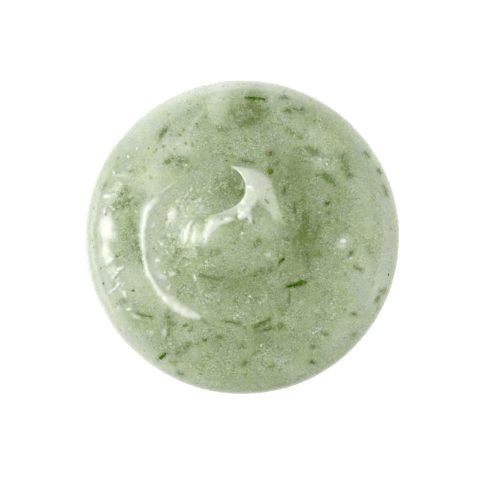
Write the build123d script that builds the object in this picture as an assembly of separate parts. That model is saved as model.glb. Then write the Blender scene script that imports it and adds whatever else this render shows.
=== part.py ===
"""Shaving soap puck: a milky base pour, a translucent herb pour with a finger swirl, and the botanicals set in it.

Millimetres, +Z up. The origin is the centre of the flat underside. +X and +Y lie in the plane of the table.
"""

from build123d import *
import os
from dataclasses import dataclass
from math import asin, cos, degrees, hypot, radians, sin
from random import Random

# ---------------------------------------------------------------- driving dimensions
PUCK_RADIUS = 38.0  # a 76 mm puck, the common size for a shaving mug
BASE_HEIGHT = 8.0  # thickness of the milky pour
SHOULDER_HEIGHT = 20.0  # where the flank would meet the top without its rounding
CROWN_HEIGHT = 20.8  # top of the slightly domed face
FOOT_DRAFT = 0.5  # the mould narrows by this much towards the foot
FOOT_ROUNDING = 3.5
SHOULDER_ROUNDING = 8.0
CUT_MARGIN = 5.0  # how far a cutting block runs past what it cuts
VERTEX_TOLERANCE = 1e-3

# The swirl: one turn of a fingertip, round SWIRL_CENTRE, ending in a flicked curl.
SWIRL_CENTRE = (-5.1, -1.2)
TROUGH_RADIUS = 13.6  # of the trough's centre line
TROUGH_DEPTH = 2.0
FINGER_RADIUS = 5.9  # of the fingertip that drew the trough
TROUGH_START = 82.0  # degrees, at the scoop under the curl
TROUGH_SWEEP = 200.0
RIM_RADIUS = 18.6  # of the raised rim's centre line, from SWIRL_CENTRE
RIM_THICKNESS = 1.3  # radius of the rim's round back
RIM_HEIGHT = 1.0  # of its highest point above the crown
RIM_MIDDLE = 200.0  # degrees, where the rim is highest
RIM_REACH = 62.0  # degrees from there to each end, where it has sunk into the face
MOUND_CENTRE = (-2.6, -3.6)
MOUND_RADIUS = 11.4
MOUND_HEIGHT = 0.9
# The curl's centre line from root to tip: x, y, height of its middle, radius.
CURL_STATIONS = [
    (2.4, -0.6, 15.4, 4.4),
    (3.6, 4.2, 17.2, 4.4),
    (4.4, 9.0, 18.9, 3.7),
    (3.7, 12.6, 20.6, 2.6),
    (1.7, 15.2, 22.0, 1.5),
    (-2.2, 16.7, 23.2, 0.4),
]

PROUD = 0.08  # how far a botanical stands out of the soap
RANDOM_SEED = 17
MAX_TRIES = 400  # places tried for one scattered crumb


@dataclass
class Fleck:
    """One botanical as seen from above. Its depth is how far the soap covers it, so it is negative when proud."""

    x: float
    y: float
    length: float
    width: float
    heading: float = 0.0
    thick: float = 0.35
    depth: float = -PROUD


# ---------------------------------------------------------------- botanicals placed by hand
LEAF_BLADES = [
    Fleck(3.2, 33.4, 4.8, 0.8, -6),
    Fleck(12.8, -11.3, 4.8, 1.2, 15),
    Fleck(-19.1, 25.1, 2.9, 0.9, 50),
    Fleck(4.8, -20.6, 4.6, 0.8, 27),
    Fleck(5.9, -22.2, 3.0, 0.6, 12),
    Fleck(-19.2, -28.6, 2.8, 0.9, 46),
    Fleck(20.7, 13.9, 3.8, 1.0, -40),
    Fleck(16.9, 20.6, 2.2, 0.9, -32),
    Fleck(9.5, -5.6, 2.2, 0.7, 42),
]
STEM_NEEDLES = [
    Fleck(-7.6, -9.8, 5.0, 0.4, -14, 0.3),
    Fleck(1.4, 18.2, 2.8, 0.4, -10, 0.3),
    Fleck(-23.4, -18.9, 3.4, 0.4, -14, 0.3),
    Fleck(-2.4, -20.6, 3.8, 0.45, -11, 0.3),
    Fleck(-17.6, -21.6, 3.4, 0.45, 86, 0.3),
    Fleck(12.6, 7.1, 2.0, 0.35, 98, 0.3),
    Fleck(34.6, 11.2, 2.2, 0.4, 108, 0.3),
    Fleck(11.4, -14.6, 2.0, 0.4, 80, 0.3),
    Fleck(28.0, -7.6, 1.8, 0.35, -30, 0.3),
    Fleck(13.4, 30.7, 2.6, 0.35, -4, 0.3),
]
LEAF_CHIPS = [
    Fleck(-17.9, 18.2, 1.5, 1.1, 20),
    Fleck(-30.2, 7.8, 1.6, 1.1, 28),
    Fleck(-28.2, 9.0, 1.2, 0.8, 60),
    Fleck(-13.8, -21.3, 1.0, 0.8, 10),
    Fleck(-12.2, -21.9, 1.0, 0.7, 40),
    Fleck(-5.5, -24.1, 1.2, 1.0, 0),
    Fleck(-16.6, -30.2, 1.1, 0.8, -30),
    Fleck(-15.0, -33.0, 1.3, 0.8, -25),
    Fleck(10.4, 33.6, 1.0, 0.7, 5),
    Fleck(11.0, 30.4, 1.3, 0.9, -20),
    Fleck(10.2, 11.4, 1.5, 0.8, 80),
    Fleck(20.4, 8.1, 1.1, 0.9, 15),
    Fleck(20.7, 5.9, 0.9, 0.6, 70),
    Fleck(30.2, 20.0, 1.2, 0.7, -55),
    Fleck(33.2, 15.8, 1.2, 0.7, -65),
    Fleck(32.7, -15.0, 1.1, 0.8, 60),
    Fleck(26.9, -18.6, 0.9, 0.6, 0),
    Fleck(27.0, -23.7, 1.0, 0.7, 30),
    Fleck(20.0, -23.3, 1.2, 0.8, -20),
    Fleck(17.1, -26.3, 1.0, 0.7, 20),
    Fleck(17.0, -30.2, 1.1, 0.8, -40),
    Fleck(7.4, -30.9, 1.2, 0.9, 30),
    Fleck(26.2, -3.8, 1.0, 0.7, 45),
    Fleck(-28.6, -15.4, 0.9, 0.7, 15),
    Fleck(8.4, 18.0, 1.0, 0.7, 35),
    Fleck(5.9, 8.6, 1.5, 0.5, -40),
    Fleck(-9.0, -24.8, 1.1, 0.7, -15),
]
AMBER_HUSKS = [
    Fleck(6.7, 20.1, 1.2, 1.1, 0, 0.5),
    Fleck(6.9, 15.9, 1.2, 1.2, 30, 0.5),
    Fleck(8.9, -21.6, 1.2, 1.1, 10, 0.5),
    Fleck(-6.4, -3.6, 1.1, 1.0, 0, 0.5),
    Fleck(3.6, -1.3, 0.9, 0.9, 0, 0.5),
    Fleck(3.6, 31.2, 1.2, 1.0, 0, 0.5),
    Fleck(0.6, -30.2, 1.1, 0.9, 0, 0.5),
    Fleck(-0.4, -26.1, 1.0, 0.8, 20, 0.5),
    Fleck(17.8, -3.9, 1.1, 0.9, 0, 0.5),
    Fleck(34.0, -13.0, 0.9, 0.7, 0, 0.5),
    Fleck(-0.5, 10.8, 1.2, 0.9, 40, 0.5),
]
PALE_CRYSTALS = [
    Fleck(-25.3, 21.4, 0.9, 0.7, 70, 0.5),
    Fleck(-27.4, 19.4, 0.8, 0.7, 20, 0.5),
    Fleck(-30.6, 15.4, 0.9, 0.8, 50, 0.5),
    Fleck(-13.4, 17.4, 0.8, 0.6, 0, 0.5),
    Fleck(24.5, -0.9, 1.8, 1.5, 10, 0.5),
    Fleck(21.5, -16.0, 0.7, 0.6, 0, 0.5),
    Fleck(-1.2, -18.8, 0.8, 0.6, 15, 0.5),
    Fleck(20.4, 17.6, 0.8, 0.7, 0, 0.5),
    Fleck(-18.5, -8.4, 0.9, 0.8, 35, 0.5),
    Fleck(4.6, -26.0, 0.8, 0.6, 60, 0.5),
]
DARK_SPECKS = [
    Fleck(-11.0, 27.3, 0.6, 0.5, 0, 0.3),
    Fleck(-10.8, 32.0, 0.5, 0.4, 0, 0.3),
    Fleck(-12.8, 30.5, 0.5, 0.4, 30, 0.3),
    Fleck(-3.8, 18.4, 0.6, 0.5, 0, 0.3),
    Fleck(15.6, -4.2, 0.5, 0.5, 0, 0.3),
    Fleck(3.0, -9.3, 0.6, 0.5, 20, 0.3),
    Fleck(-33.4, -11.1, 0.8, 0.6, 40, 0.3),
    Fleck(-26.2, -12.9, 0.9, 0.7, 10, 0.3),
    Fleck(35.3, -9.0, 0.9, 0.6, 80, 0.3),
    Fleck(-22.6, 21.4, 0.6, 0.5, 0, 0.3),
]
SUSPENDED_LEAVES = [
    Fleck(3.6, 31.0, 4.6, 2.0, -8, 0.3, 1.6),
    Fleck(1.9, 27.6, 4.2, 1.8, 12, 0.3, 2.2),
    Fleck(15.6, 3.6, 4.4, 2.0, 84, 0.3, 2.0),
    Fleck(17.0, -0.6, 3.8, 1.8, 66, 0.3, 2.6),
    Fleck(15.4, -4.6, 3.2, 1.6, 110, 0.3, 1.8),
    Fleck(25.0, 17.2, 4.8, 1.6, -68, 0.3, 1.8),
    Fleck(5.8, -8.4, 4.2, 1.8, 24, 0.3, 1.6),
    Fleck(-15.0, 18.6, 3.4, 1.4, -20, 0.3, 1.8),
    Fleck(-24.9, -3.2, 4.4, 1.2, -76, 0.3, 1.6),
    Fleck(-29.4, 10.6, 3.4, 1.4, 30, 0.3, 1.8),
    Fleck(12.6, 24.8, 3.4, 1.4, -30, 0.3, 2.2),
    Fleck(-14.2, -27.0, 3.2, 1.4, 40, 0.3, 2.0),
]
HERB_CRUMBS = 34  # small crumbs scattered over the whole face
CRUMB_SPREAD = 33.5  # they stay within this radius
CRUMB_LENGTH = (0.5, 0.9)
CRUMB_SLIMNESS = 0.7  # a crumb's width as a share of its length
CRUMB_THICKNESS = 0.3
CRUMB_GAP = 0.9  # clear soap between one botanical and the next
# Corners of a torn leaf, blunt at one end and pointed at the other, as shares of its half length and half width.
LEAF_CORNERS = [(-1.0, -0.3), (-0.6, -1.0), (0.5, -0.8), (1.0, 0.0), (0.4, 1.0), (-0.8, 0.8)]


# ---------------------------------------------------------------- the poured soap
def envelope():
    """The whole puck as the mould and the spatula leave it, before the swirl is drawn."""
    draft_end = (PUCK_RADIUS, BASE_HEIGHT)
    corner_foot = (PUCK_RADIUS - FOOT_DRAFT, 0)
    corner_top = (PUCK_RADIUS, SHOULDER_HEIGHT)
    crown = (0, CROWN_HEIGHT)
    half_way = dome_height(PUCK_RADIUS / 2)
    flank = Polyline(crown, (0, 0), corner_foot, draft_end, corner_top)
    face = ThreePointArc(corner_top, (PUCK_RADIUS / 2, half_way), crown)
    profile = make_face(Plane.XZ * (flank + face))
    profile = fillet(profile.vertices().filter_by(lambda v: near(v, corner_foot)), FOOT_ROUNDING)
    profile = fillet(profile.vertices().filter_by(lambda v: near(v, corner_top)), SHOULDER_ROUNDING)
    return revolve(profile, Axis.Z)


def near(vertex, corner):
    """True if a vertex of the profile is at this corner."""
    return hypot(vertex.X - corner[0], vertex.Z - corner[1]) < VERTEX_TOLERANCE


def dome_radius():
    """Radius of the sphere that the top face is part of."""
    sag = CROWN_HEIGHT - SHOULDER_HEIGHT
    return (PUCK_RADIUS**2 + sag**2) / (2 * sag)


def dome_height(r):
    """Height of the domed face at r from the axis."""
    big = dome_radius()
    return CROWN_HEIGHT - big + (big**2 - r**2) ** 0.5


def slab(low, high):
    """Everything between two heights."""
    side = 2 * PUCK_RADIUS + 2 * CUT_MARGIN
    return Pos(0, 0, (low + high) / 2) * Box(side, side, high - low)


def on_swirl(angle, radius):
    """A point at an angle in degrees and a radius from the swirl's centre, seen from above."""
    a = radians(angle)
    return (SWIRL_CENTRE[0] + radius * cos(a), SWIRL_CENTRE[1] + radius * sin(a))


def finger_track():
    """The space the fingertip swept: part of a ring with a round end at each side."""
    height = CROWN_HEIGHT - TROUGH_DEPTH + FINGER_RADIUS
    axis = Axis((*SWIRL_CENTRE, 0), (0, 0, 1))
    ends = [on_swirl(TROUGH_START, TROUGH_RADIUS), on_swirl(TROUGH_START + TROUGH_SWEEP, TROUGH_RADIUS)]
    section = Location((SWIRL_CENTRE[0] + TROUGH_RADIUS, SWIRL_CENTRE[1], height)) * (
        Plane.XZ * Circle(FINGER_RADIUS)
    )
    section = section.rotate(axis, TROUGH_START)
    track = revolve(section, axis, TROUGH_SWEEP)
    for x, y in ends:
        track += Pos(x, y, height) * Sphere(FINGER_RADIUS)
    return track


def rim_blank():
    """A ring tilted so that only its left side stands out, as a crescent that sinks away at both ends."""
    sine = RIM_HEIGHT / (RIM_RADIUS * (1 - cos(radians(RIM_REACH))))
    middle_height = CROWN_HEIGHT + RIM_HEIGHT - RIM_THICKNESS - RIM_RADIUS * sine
    ring = Rot(0, -degrees(asin(sine)), 0) * Torus(RIM_RADIUS, RIM_THICKNESS)
    return Pos(*SWIRL_CENTRE, middle_height) * Rot(0, 0, RIM_MIDDLE) * ring


def mound_blank():
    """A low spherical mound in the middle of the swirl."""
    sag = MOUND_HEIGHT + CROWN_HEIGHT - dome_height(MOUND_RADIUS)
    ball = (MOUND_RADIUS**2 + sag**2) / (2 * sag)
    column = Pos(*MOUND_CENTRE, CROWN_HEIGHT) * Cylinder(MOUND_RADIUS, 2 * CUT_MARGIN)
    return column & Pos(*MOUND_CENTRE, CROWN_HEIGHT + MOUND_HEIGHT - ball) * Sphere(ball)


def curl_blank():
    """The tapering curl, lofted through round sections square to its centre line."""
    middles = [Vector(x, y, z) for x, y, z, _ in CURL_STATIONS]
    sections = []
    for i, (_, _, _, radius) in enumerate(CURL_STATIONS):
        along = middles[min(i + 1, len(middles) - 1)] - middles[max(i - 1, 0)]
        sections.append(Plane(origin=middles[i], z_dir=along) * Circle(radius))
    return loft(sections)


def soap_pieces():
    """The five laid portions of soap, face to face, with nothing set in them yet."""
    whole = envelope()
    track = finger_track()
    base = whole & slab(-CUT_MARGIN, BASE_HEIGHT)
    upper = (whole & slab(BASE_HEIGHT, CROWN_HEIGHT + CUT_MARGIN)) - track
    above = slab(SHOULDER_HEIGHT - TROUGH_DEPTH, CROWN_HEIGHT + CUT_MARGIN)
    rim = (rim_blank() & above) - track - upper
    mound = (mound_blank() & above) - track - upper
    curl = (curl_blank() & above) - upper - mound - rim
    return {
        "milky_base_pour": base,
        "herb_upper_pour": upper,
        "swirl_rim": largest(rim),
        "swirl_mound": largest(mound),
        "flicked_curl": largest(curl),
    }


def largest(shape):
    """The biggest solid of a shape, without the slivers a cut can leave beside it."""
    return max(shape.solids(), key=lambda s: s.volume)


# ---------------------------------------------------------------- the botanicals
def surface_under(soap, x, y):
    """The highest point of the soap over (x, y), and its outward normal."""
    line = Axis((x, y, CROWN_HEIGHT + 2 * CUT_MARGIN), (0, 0, -1))
    hits = [hit for piece in soap for hit in piece.find_intersection_points(line)]
    point, normal = max(hits, key=lambda hit: hit[0].Z)
    return point, normal if normal.Z > 0 else -normal


def leaf_outline(length, width):
    """The flat outline of a torn leaf of this size, lying along X."""
    corners = [(u * length / 2, v * width / 2) for u, v in LEAF_CORNERS]
    return Polygon(*corners, align=None)


def bedded(soap, fleck):
    """The fleck's solid, lying along the soap's surface with its upper face at its depth."""
    point, normal = surface_under(soap, fleck.x, fleck.y)
    heading = radians(fleck.heading)
    along = Vector(cos(heading), sin(heading), 0)
    along = along - normal * along.dot(normal)
    lie = Plane(origin=point - normal * (fleck.depth + fleck.thick), x_dir=along, z_dir=normal)
    return extrude(lie * leaf_outline(fleck.length, fleck.width), fleck.thick, dir=normal)


def scattered_crumbs(taken):
    """Small crumbs at seeded random places that keep clear of everything set by hand."""
    dice = Random(RANDOM_SEED)
    crumbs = []
    for _ in range(MAX_TRIES):
        if len(crumbs) == HERB_CRUMBS:
            break
        angle = dice.uniform(0, 360)
        r = CRUMB_SPREAD * dice.random() ** 0.5
        length = dice.uniform(*CRUMB_LENGTH)
        x, y = r * cos(radians(angle)), r * sin(radians(angle))
        crumb = Fleck(x, y, length, CRUMB_SLIMNESS * length, dice.uniform(0, 180), CRUMB_THICKNESS)
        if clear_of(crumb, taken + crumbs):
            crumbs.append(crumb)
    return crumbs


def clear_of(crumb, others):
    """True if the crumb keeps CRUMB_GAP from the others and lies off the steep edges of the swirl."""
    for other in others:
        apart = hypot(crumb.x - other.x, crumb.y - other.y)
        if apart < (crumb.length + other.length) / 2 + CRUMB_GAP:
            return False
    from_swirl = hypot(crumb.x - SWIRL_CENTRE[0], crumb.y - SWIRL_CENTRE[1])
    on_rim = abs(from_swirl - RIM_RADIUS) < RIM_THICKNESS + CRUMB_GAP
    from_mound = hypot(crumb.x - MOUND_CENTRE[0], crumb.y - MOUND_CENTRE[1])
    on_lip = abs(from_mound - MOUND_RADIUS) < CRUMB_GAP
    on_curl = any(hypot(crumb.x - x, crumb.y - y) < r + CRUMB_GAP for x, y, _, r in CURL_STATIONS)
    return not (on_rim or on_lip or on_curl)


def main():
    soap = soap_pieces()
    groups = {
        "leaf_blades": LEAF_BLADES,
        "stem_needles": STEM_NEEDLES,
        "leaf_chips": LEAF_CHIPS,
        "amber_husks": AMBER_HUSKS,
        "pale_crystals": PALE_CRYSTALS,
        "dark_specks": DARK_SPECKS,
        "suspended_leaves": SUSPENDED_LEAVES,
    }
    by_hand = [fleck for flecks in groups.values() for fleck in flecks]
    groups["herb_crumbs"] = scattered_crumbs(by_hand)
    surfaces = list(soap.values())
    set_in = {name: [bedded(surfaces, f) for f in flecks] for name, flecks in groups.items()}
    every = [solid for solids in set_in.values() for solid in solids]

    os.makedirs("parts", exist_ok=True)
    for name, piece in soap.items():
        pocketed = largest(piece.cut(*every)) if name != "milky_base_pour" else piece
        export_step(Part() + pocketed, f"parts/{name}.step")
    for name, solids in set_in.items():
        export_step(Compound(children=[Part() + s for s in solids]), f"parts/{name}.step")


main()
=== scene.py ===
"""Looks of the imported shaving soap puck. Lengths are in millimetres, and metres once in a mesh."""
from functools import partial
from math import atan2, cos, hypot, pi, radians, sin, sqrt
from random import Random

import bmesh
import bpy
import numpy as np
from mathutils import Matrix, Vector, noise
from mathutils.bvhtree import BVHTree
from mathutils.kdtree import KDTree


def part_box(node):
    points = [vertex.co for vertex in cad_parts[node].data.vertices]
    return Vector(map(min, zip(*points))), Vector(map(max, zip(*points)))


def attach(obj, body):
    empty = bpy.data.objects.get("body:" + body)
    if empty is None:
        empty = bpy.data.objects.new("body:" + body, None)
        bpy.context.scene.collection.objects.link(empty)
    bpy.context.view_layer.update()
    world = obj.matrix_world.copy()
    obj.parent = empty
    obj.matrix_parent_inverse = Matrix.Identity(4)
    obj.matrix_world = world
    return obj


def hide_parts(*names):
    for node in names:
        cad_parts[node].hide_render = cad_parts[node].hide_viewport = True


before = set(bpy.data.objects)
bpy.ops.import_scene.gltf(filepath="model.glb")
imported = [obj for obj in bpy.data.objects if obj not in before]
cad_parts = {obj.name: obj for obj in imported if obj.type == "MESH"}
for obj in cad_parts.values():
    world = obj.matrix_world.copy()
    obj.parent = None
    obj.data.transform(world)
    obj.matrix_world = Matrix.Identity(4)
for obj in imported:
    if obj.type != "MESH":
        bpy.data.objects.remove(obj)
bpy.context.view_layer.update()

MM = 0.001

# ---- sizes, in millimetres
_, base_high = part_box("milky_base_pour")
_, pour_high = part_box("herb_upper_pour")
RADIUS = base_high.x / MM
SEAM = base_high.z / MM  # height of the line between the two pours
CROWN = pour_high.z / MM
CROWN_SAG = 0.8  # the face falls this much from its middle to its edge
SHOULDER = 8.0  # rounding of the upper edge
FOOT = 3.5  # rounding of the lower edge
DRAFT = 0.5  # the foot is this much narrower than the seam

# The swirl, in the plane of the face. Angles are in degrees from +X, counter-clockwise.
SWIRL = (-5.1, -1.2)
TROUGH_RADIUS = 13.6
TROUGH_OUTER_WIDTH = 5.4
TROUGH_INNER_WIDTH = 7.4
TROUGH_DEPTH = 1.1
MOUND = (-2.6, -3.6)
MOUND_RADIUS = 11.4
MOUND_HEIGHT = 0.9
# The curl's crest, drawn from its tip: x, y, height above the face, width of the far slope.
CURL_CREST = [
    (-2.6, 16.9, 0.0, 0.5), (-1.5, 16.6, 0.7, 0.8), (0.2, 15.3, 1.7, 2.6), (1.2, 13.4, 2.2, 4.8),
    (1.4, 11.3, 2.2, 6.6), (0.9, 9.4, 1.8, 7.6), (-0.9, 7.6, 1.2, 7.0), (-3.7, 6.2, 0.8, 5.0),
    (-7.2, 5.1, 0.4, 3.0), (-9.0, 4.6, 0.0, 2.0),
]
# Thin ridges pushed up by the finger: how pale each is, and its rows of x, y, half width, height.
# The paleness is a painted highlight along each crest, on top of the real ridge.
RIDGES = [
    (0.9, [
        (-19.6, 10.3, 0.35, 0.0), (-21.4, 8.3, 0.62, 0.26), (-22.7, 6.5, 0.62, 0.36),
        (-23.3, 4.5, 0.5, 0.36), (-23.6, 2.0, 0.44, 0.36), (-23.7, 0.0, 0.42, 0.36),
        (-23.5, -3.0, 0.42, 0.34), (-23.2, -6.0, 0.42, 0.32), (-22.7, -8.2, 0.42, 0.3),
        (-21.5, -10.5, 0.48, 0.32), (-20.0, -12.9, 0.6, 0.36), (-18.0, -15.2, 0.85, 0.46),
        (-15.7, -16.8, 1.1, 0.5), (-13.2, -18.1, 1.0, 0.5), (-11.2, -19.0, 0.7, 0.42),
        (-9.6, -19.6, 0.4, 0.0),
    ]),
    (0.35, [
        (-20.4, 10.1, 0.3, 0.0), (-18.6, 11.4, 0.36, 0.22), (-17.0, 12.6, 0.34, 0.2),
        (-15.9, 13.3, 0.3, 0.0),
    ]),
    (0.5, [
        (-19.2, -12.9, 0.3, 0.0), (-17.2, -14.5, 0.5, 0.3), (-15.3, -15.9, 0.5, 0.3),
        (-13.8, -17.2, 0.3, 0.0),
    ]),
    (0.8, [
        (-8.5, -2.0, 0.25, 0.0), (-8.3, -0.4, 0.42, 0.14), (-8.1, 1.2, 0.7, 0.2),
        (-7.4, 2.6, 1.15, 0.26), (-6.1, 3.4, 0.95, 0.3), (-4.6, 3.7, 0.5, 0.3),
        (-3.0, 4.2, 0.65, 0.36), (-1.5, 4.7, 0.3, 0.0),
    ]),
    (0.9, [
        (-1.2, 4.4, 0.25, 0.0), (0.0, 5.1, 0.7, 0.36), (1.1, 6.0, 0.95, 0.45),
        (2.1, 7.2, 0.35, 0.0),
    ]),
    (0.85, [
        (1.2, 6.3, 0.5, 0.1), (1.7, 4.9, 0.55, 0.36), (2.2, 2.8, 0.25, 0.0),
    ]),
    (0.78, [
        (-11.3, 4.8, 0.2, 0.0), (-12.2, 3.7, 0.32, 0.18), (-12.9, 2.2, 0.4, 0.24),
        (-13.4, 0.6, 0.6, 0.24), (-13.6, -0.8, 0.46, 0.2), (-13.8, -3.1, 0.25, 0.0),
    ]),
]
# Dabs of soap, pressed in if the height is below 0: x, y, half sizes, heading, height, paleness. The
# paleness is partly pale soap and mostly a painted highlight on each dab's real bump.
DABS = [
    (-16.6, 5.2, 2.3, 1.2, 84, 0.5, 0.95), (-17.6, 3.2, 1.0, 0.8, 60, 0.12, 0.35),
    (-21.2, 2.8, 0.6, 0.45, 60, 0.24, 0.6), (-20.4, 1.7, 0.45, 0.3, 90, 0.18, 0.5),
    (-19.3, -1.6, 0.5, 0.4, 0, 0.26, 0.8), (-18.0, -3.6, 0.5, 0.3, 80, 0.18, 0.6),
    (-20.2, -5.6, 0.85, 0.55, -20, 0.3, 0.9), (-16.8, -8.8, 0.8, 0.6, 20, 0.22, 0.7),
    (-19.2, -9.6, 1.0, 0.6, -30, 0.2, 0.6), (-17.6, -12.0, 0.9, 0.35, 50, 0.18, 0.6),
    (-11.3, -9.9, 0.9, 0.4, 104, 0.26, 0.75), (-10.1, 8.9, 0.55, 0.4, 90, 0.24, 0.6),
    (-10.6, 7.8, 0.4, 0.3, 90, 0.16, 0.4), (-13.5, 10.0, 0.5, 0.35, 60, 0.24, 0.6),
    (-15.2, 8.9, 0.6, 0.45, 30, 0.16, 0.4), (-12.3, 11.6, 0.45, 0.3, 70, 0.22, 0.6),
    (-10.8, 13.1, 0.4, 0.3, 0, 0.18, 0.5), (-8.8, 11.9, 0.4, 0.25, 80, 0.16, 0.4),
    (-10.7, -1.9, 0.6, 0.3, -10, 0.18, 0.5), (-14.5, 7.3, 0.4, 0.3, 40, 0.16, 0.4),
    (-17.6, 0.5, 0.35, 0.3, 90, 0.18, 0.4), (0.0, 0.9, 0.45, 0.4, 90, 0.26, 0.8),
    (0.0, -0.2, 0.3, 0.26, 0, 0.2, 0.6), (2.5, 11.9, 0.95, 0.45, 112, 0.34, 0.9),
    (-32.6, 9.9, 0.95, 0.5, 15, 0.22, 0.8), (-31.2, 10.3, 0.6, 0.5, 0, 0.16, 0.6),
    (-33.2, 6.1, 1.3, 0.4, 92, 0.3, 0.8), (-31.2, 0.6, 1.6, 1.1, 112, 0.06, 0.75),
    (-32.6, 2.2, 2.6, 1.6, 86, -0.14, 0.8), (-33.1, -3.6, 1.9, 1.0, 84, 0.04, 0.65),
    (-32.2, -5.8, 1.3, 0.8, 40, 0.2, 0.85), (-31.0, -5.1, 0.5, 0.35, 40, 0.2, 0.6),
    (-29.1, -7.4, 0.8, 0.4, 40, 0.26, 0.8), (-30.6, -9.4, 1.5, 0.25, 52, 0.14, 0.5),
    (-31.6, -13.3, 0.9, 0.28, 58, 0.22, 0.7), (-30.2, -12.0, 1.5, 0.3, 48, 0.16, 0.5),
    (-28.6, -11.4, 0.8, 0.4, 60, 0.2, 0.6), (-28.2, -13.8, 0.8, 0.45, 100, 0.24, 0.7),
    (-27.2, -17.4, 0.75, 0.4, 15, 0.26, 0.8), (-30.0, -17.2, 0.5, 0.4, 70, 0.12, 0.4),
    (-30.9, 15.5, 0.75, 0.35, 112, 0.26, 0.7), (-28.9, 12.7, 0.4, 0.3, 0, 0.1, 0.4),
    (-27.1, 12.9, 0.5, 0.3, 80, 0.1, 0.4), (-25.5, 6.2, 0.7, 0.3, 120, 0.12, 0.5),
    (-24.9, 18.2, 0.6, 0.25, 90, 0.1, 0.4), (-20.4, 24.1, 0.3, 0.25, 0, 0.14, 0.6),
    (-18.6, -22.8, 0.9, 0.65, 90, 0.1, 0.5), (-21.6, -23.0, 0.55, 0.4, 30, 0.1, 0.4),
    (-25.6, -19.2, 1.2, 0.6, -10, 0.1, 0.4), (-27.2, -22.1, 0.5, 0.3, 20, 0.1, 0.4),
    (-14.4, -21.3, 0.3, 0.25, 0, 0.16, 0.7), (1.9, -14.2, 0.35, 0.25, 0, 0.18, 0.8),
    (18.8, 18.7, 0.55, 0.3, -10, 0.14, 0.6), (18.6, 5.9, 0.3, 0.25, 80, 0.16, 0.7),
    (26.3, -5.1, 0.4, 0.35, 0, 0.2, 0.8), (6.2, -4.1, 0.9, 0.45, -10, 0.06, 0.5),
    (24.4, -1.3, 1.7, 1.3, 60, 0.03, 0.3), (-8.6, -6.0, 0.4, 0.3, 100, 0.14, 0.5),
    (14.4, -15.7, 0.5, 0.3, 0, 0.08, 0.3),
]
# Places frosted with tiny bubbles: x, y, half sizes, heading, strength.
FROSTS = [
    (-11.0, 9.5, 4.0, 2.6, 60, 0.9), (-6.0, 12.5, 3.4, 2.6, 0, 0.6),
    (3.0, 22.3, 3.0, 2.0, 0, 0.45), (11.5, 22.0, 3.0, 1.8, -10, 0.5),
    (-9.0, -15.5, 2.4, 1.6, 10, 0.8), (-1.0, -18.8, 2.6, 1.6, 0, 0.8),
    (-13.4, -12.8, 1.6, 1.4, 0, 0.9), (2.2, -14.5, 1.8, 1.2, 0, 0.9),
    (19.6, 17.6, 3.0, 1.6, -15, 0.7), (13.0, 6.0, 2.2, 1.8, 0, 0.6),
    (2.5, 30.0, 1.6, 0.9, 0, 0.6), (-9.0, -28.0, 2.4, 1.2, 10, 0.5),
    (-18.0, 0.0, 7.0, 3.6, 85, 0.5), (-13.5, 7.0, 4.0, 3.0, 70, 0.8),
    (27.0, -6.0, 2.6, 2.2, 0, 0.5),
]
BEAD_DENSITY = 0.7  # bubbles to a square millimetre of a place of full strength
# Bubbles that broke at the skin and left a ring: x, y, radius, height.
RINGS = [
    (27.9, -6.0, 1.55, 0.14), (-13.4, -12.6, 0.55, 0.12), (-30.3, 7.6, 0.9, 0.1),
    (13.0, 6.2, 0.7, 0.1),
]
UPPER_GRID = 361  # points along a side of the grid over the upper pour
BASE_GRID = 141  # and of the one over the base
SEAM_FADE = 3.0  # light scatters less and less in the soap over this distance to the seam


# ---- small maths
def smoothstep(low, high, value):
    """0 below low, 1 above high and an S between them; low may be above high."""
    t = np.clip((value - low) / (high - low), 0.0, 1.0)
    return t * t * (3 - 2 * t)


def bell(distance, width):
    """1 at no distance, falling smoothly to nothing some widths away."""
    return np.exp(-((distance / width) ** 2))


def towards(phi, heading, width):
    """1 at a heading, falling smoothly to nothing some widths to either side, all in degrees."""
    return bell((phi - heading + 180) % 360 - 180, width)


def spline(points, count):
    """Points along a smooth curve through rows of numbers, by Catmull-Rom."""
    rows = np.array(points, float)
    padded = np.vstack([2 * rows[0] - rows[1], rows, 2 * rows[-1] - rows[-2]])
    out = []
    for t in np.linspace(0, len(rows) - 1 - 1e-9, count):
        i = int(t)
        f = t - i
        a, b, c, d = padded[i : i + 4]
        curved = (2 * a - 5 * b + 4 * c - d) * f**2 + (3 * b - a - 3 * c + d) * f**3
        out.append(0.5 * (2 * b + (c - a) * f + curved))
    return np.array(out)


def nearest_on(curve, x, y):
    """For each (x, y): a curve's nearest sample, how far it is, and the side, +1 to its left."""
    best = np.full(x.shape, 1e9)
    index = np.zeros(x.shape, int)
    for i, (cx, cy) in enumerate(curve[:, :2]):
        d = (x - cx) ** 2 + (y - cy) ** 2
        closer = d < best
        best[closer] = d[closer]
        index[closer] = i
    along = np.gradient(curve[:, :2], axis=0)[index]
    side = np.sign(along[:, 0] * (y - curve[index, 1]) - along[:, 1] * (x - curve[index, 0]))
    return index, np.sqrt(best), side


def lumps(points, size, seed):
    """Smooth noise about -1 to 1 at each point, with features of this size in millimetres."""
    shift = Vector((seed * 7.31, seed * 3.77, seed * 5.13))
    return np.array([noise.noise(Vector(p) / size + shift) for p in points])


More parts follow.
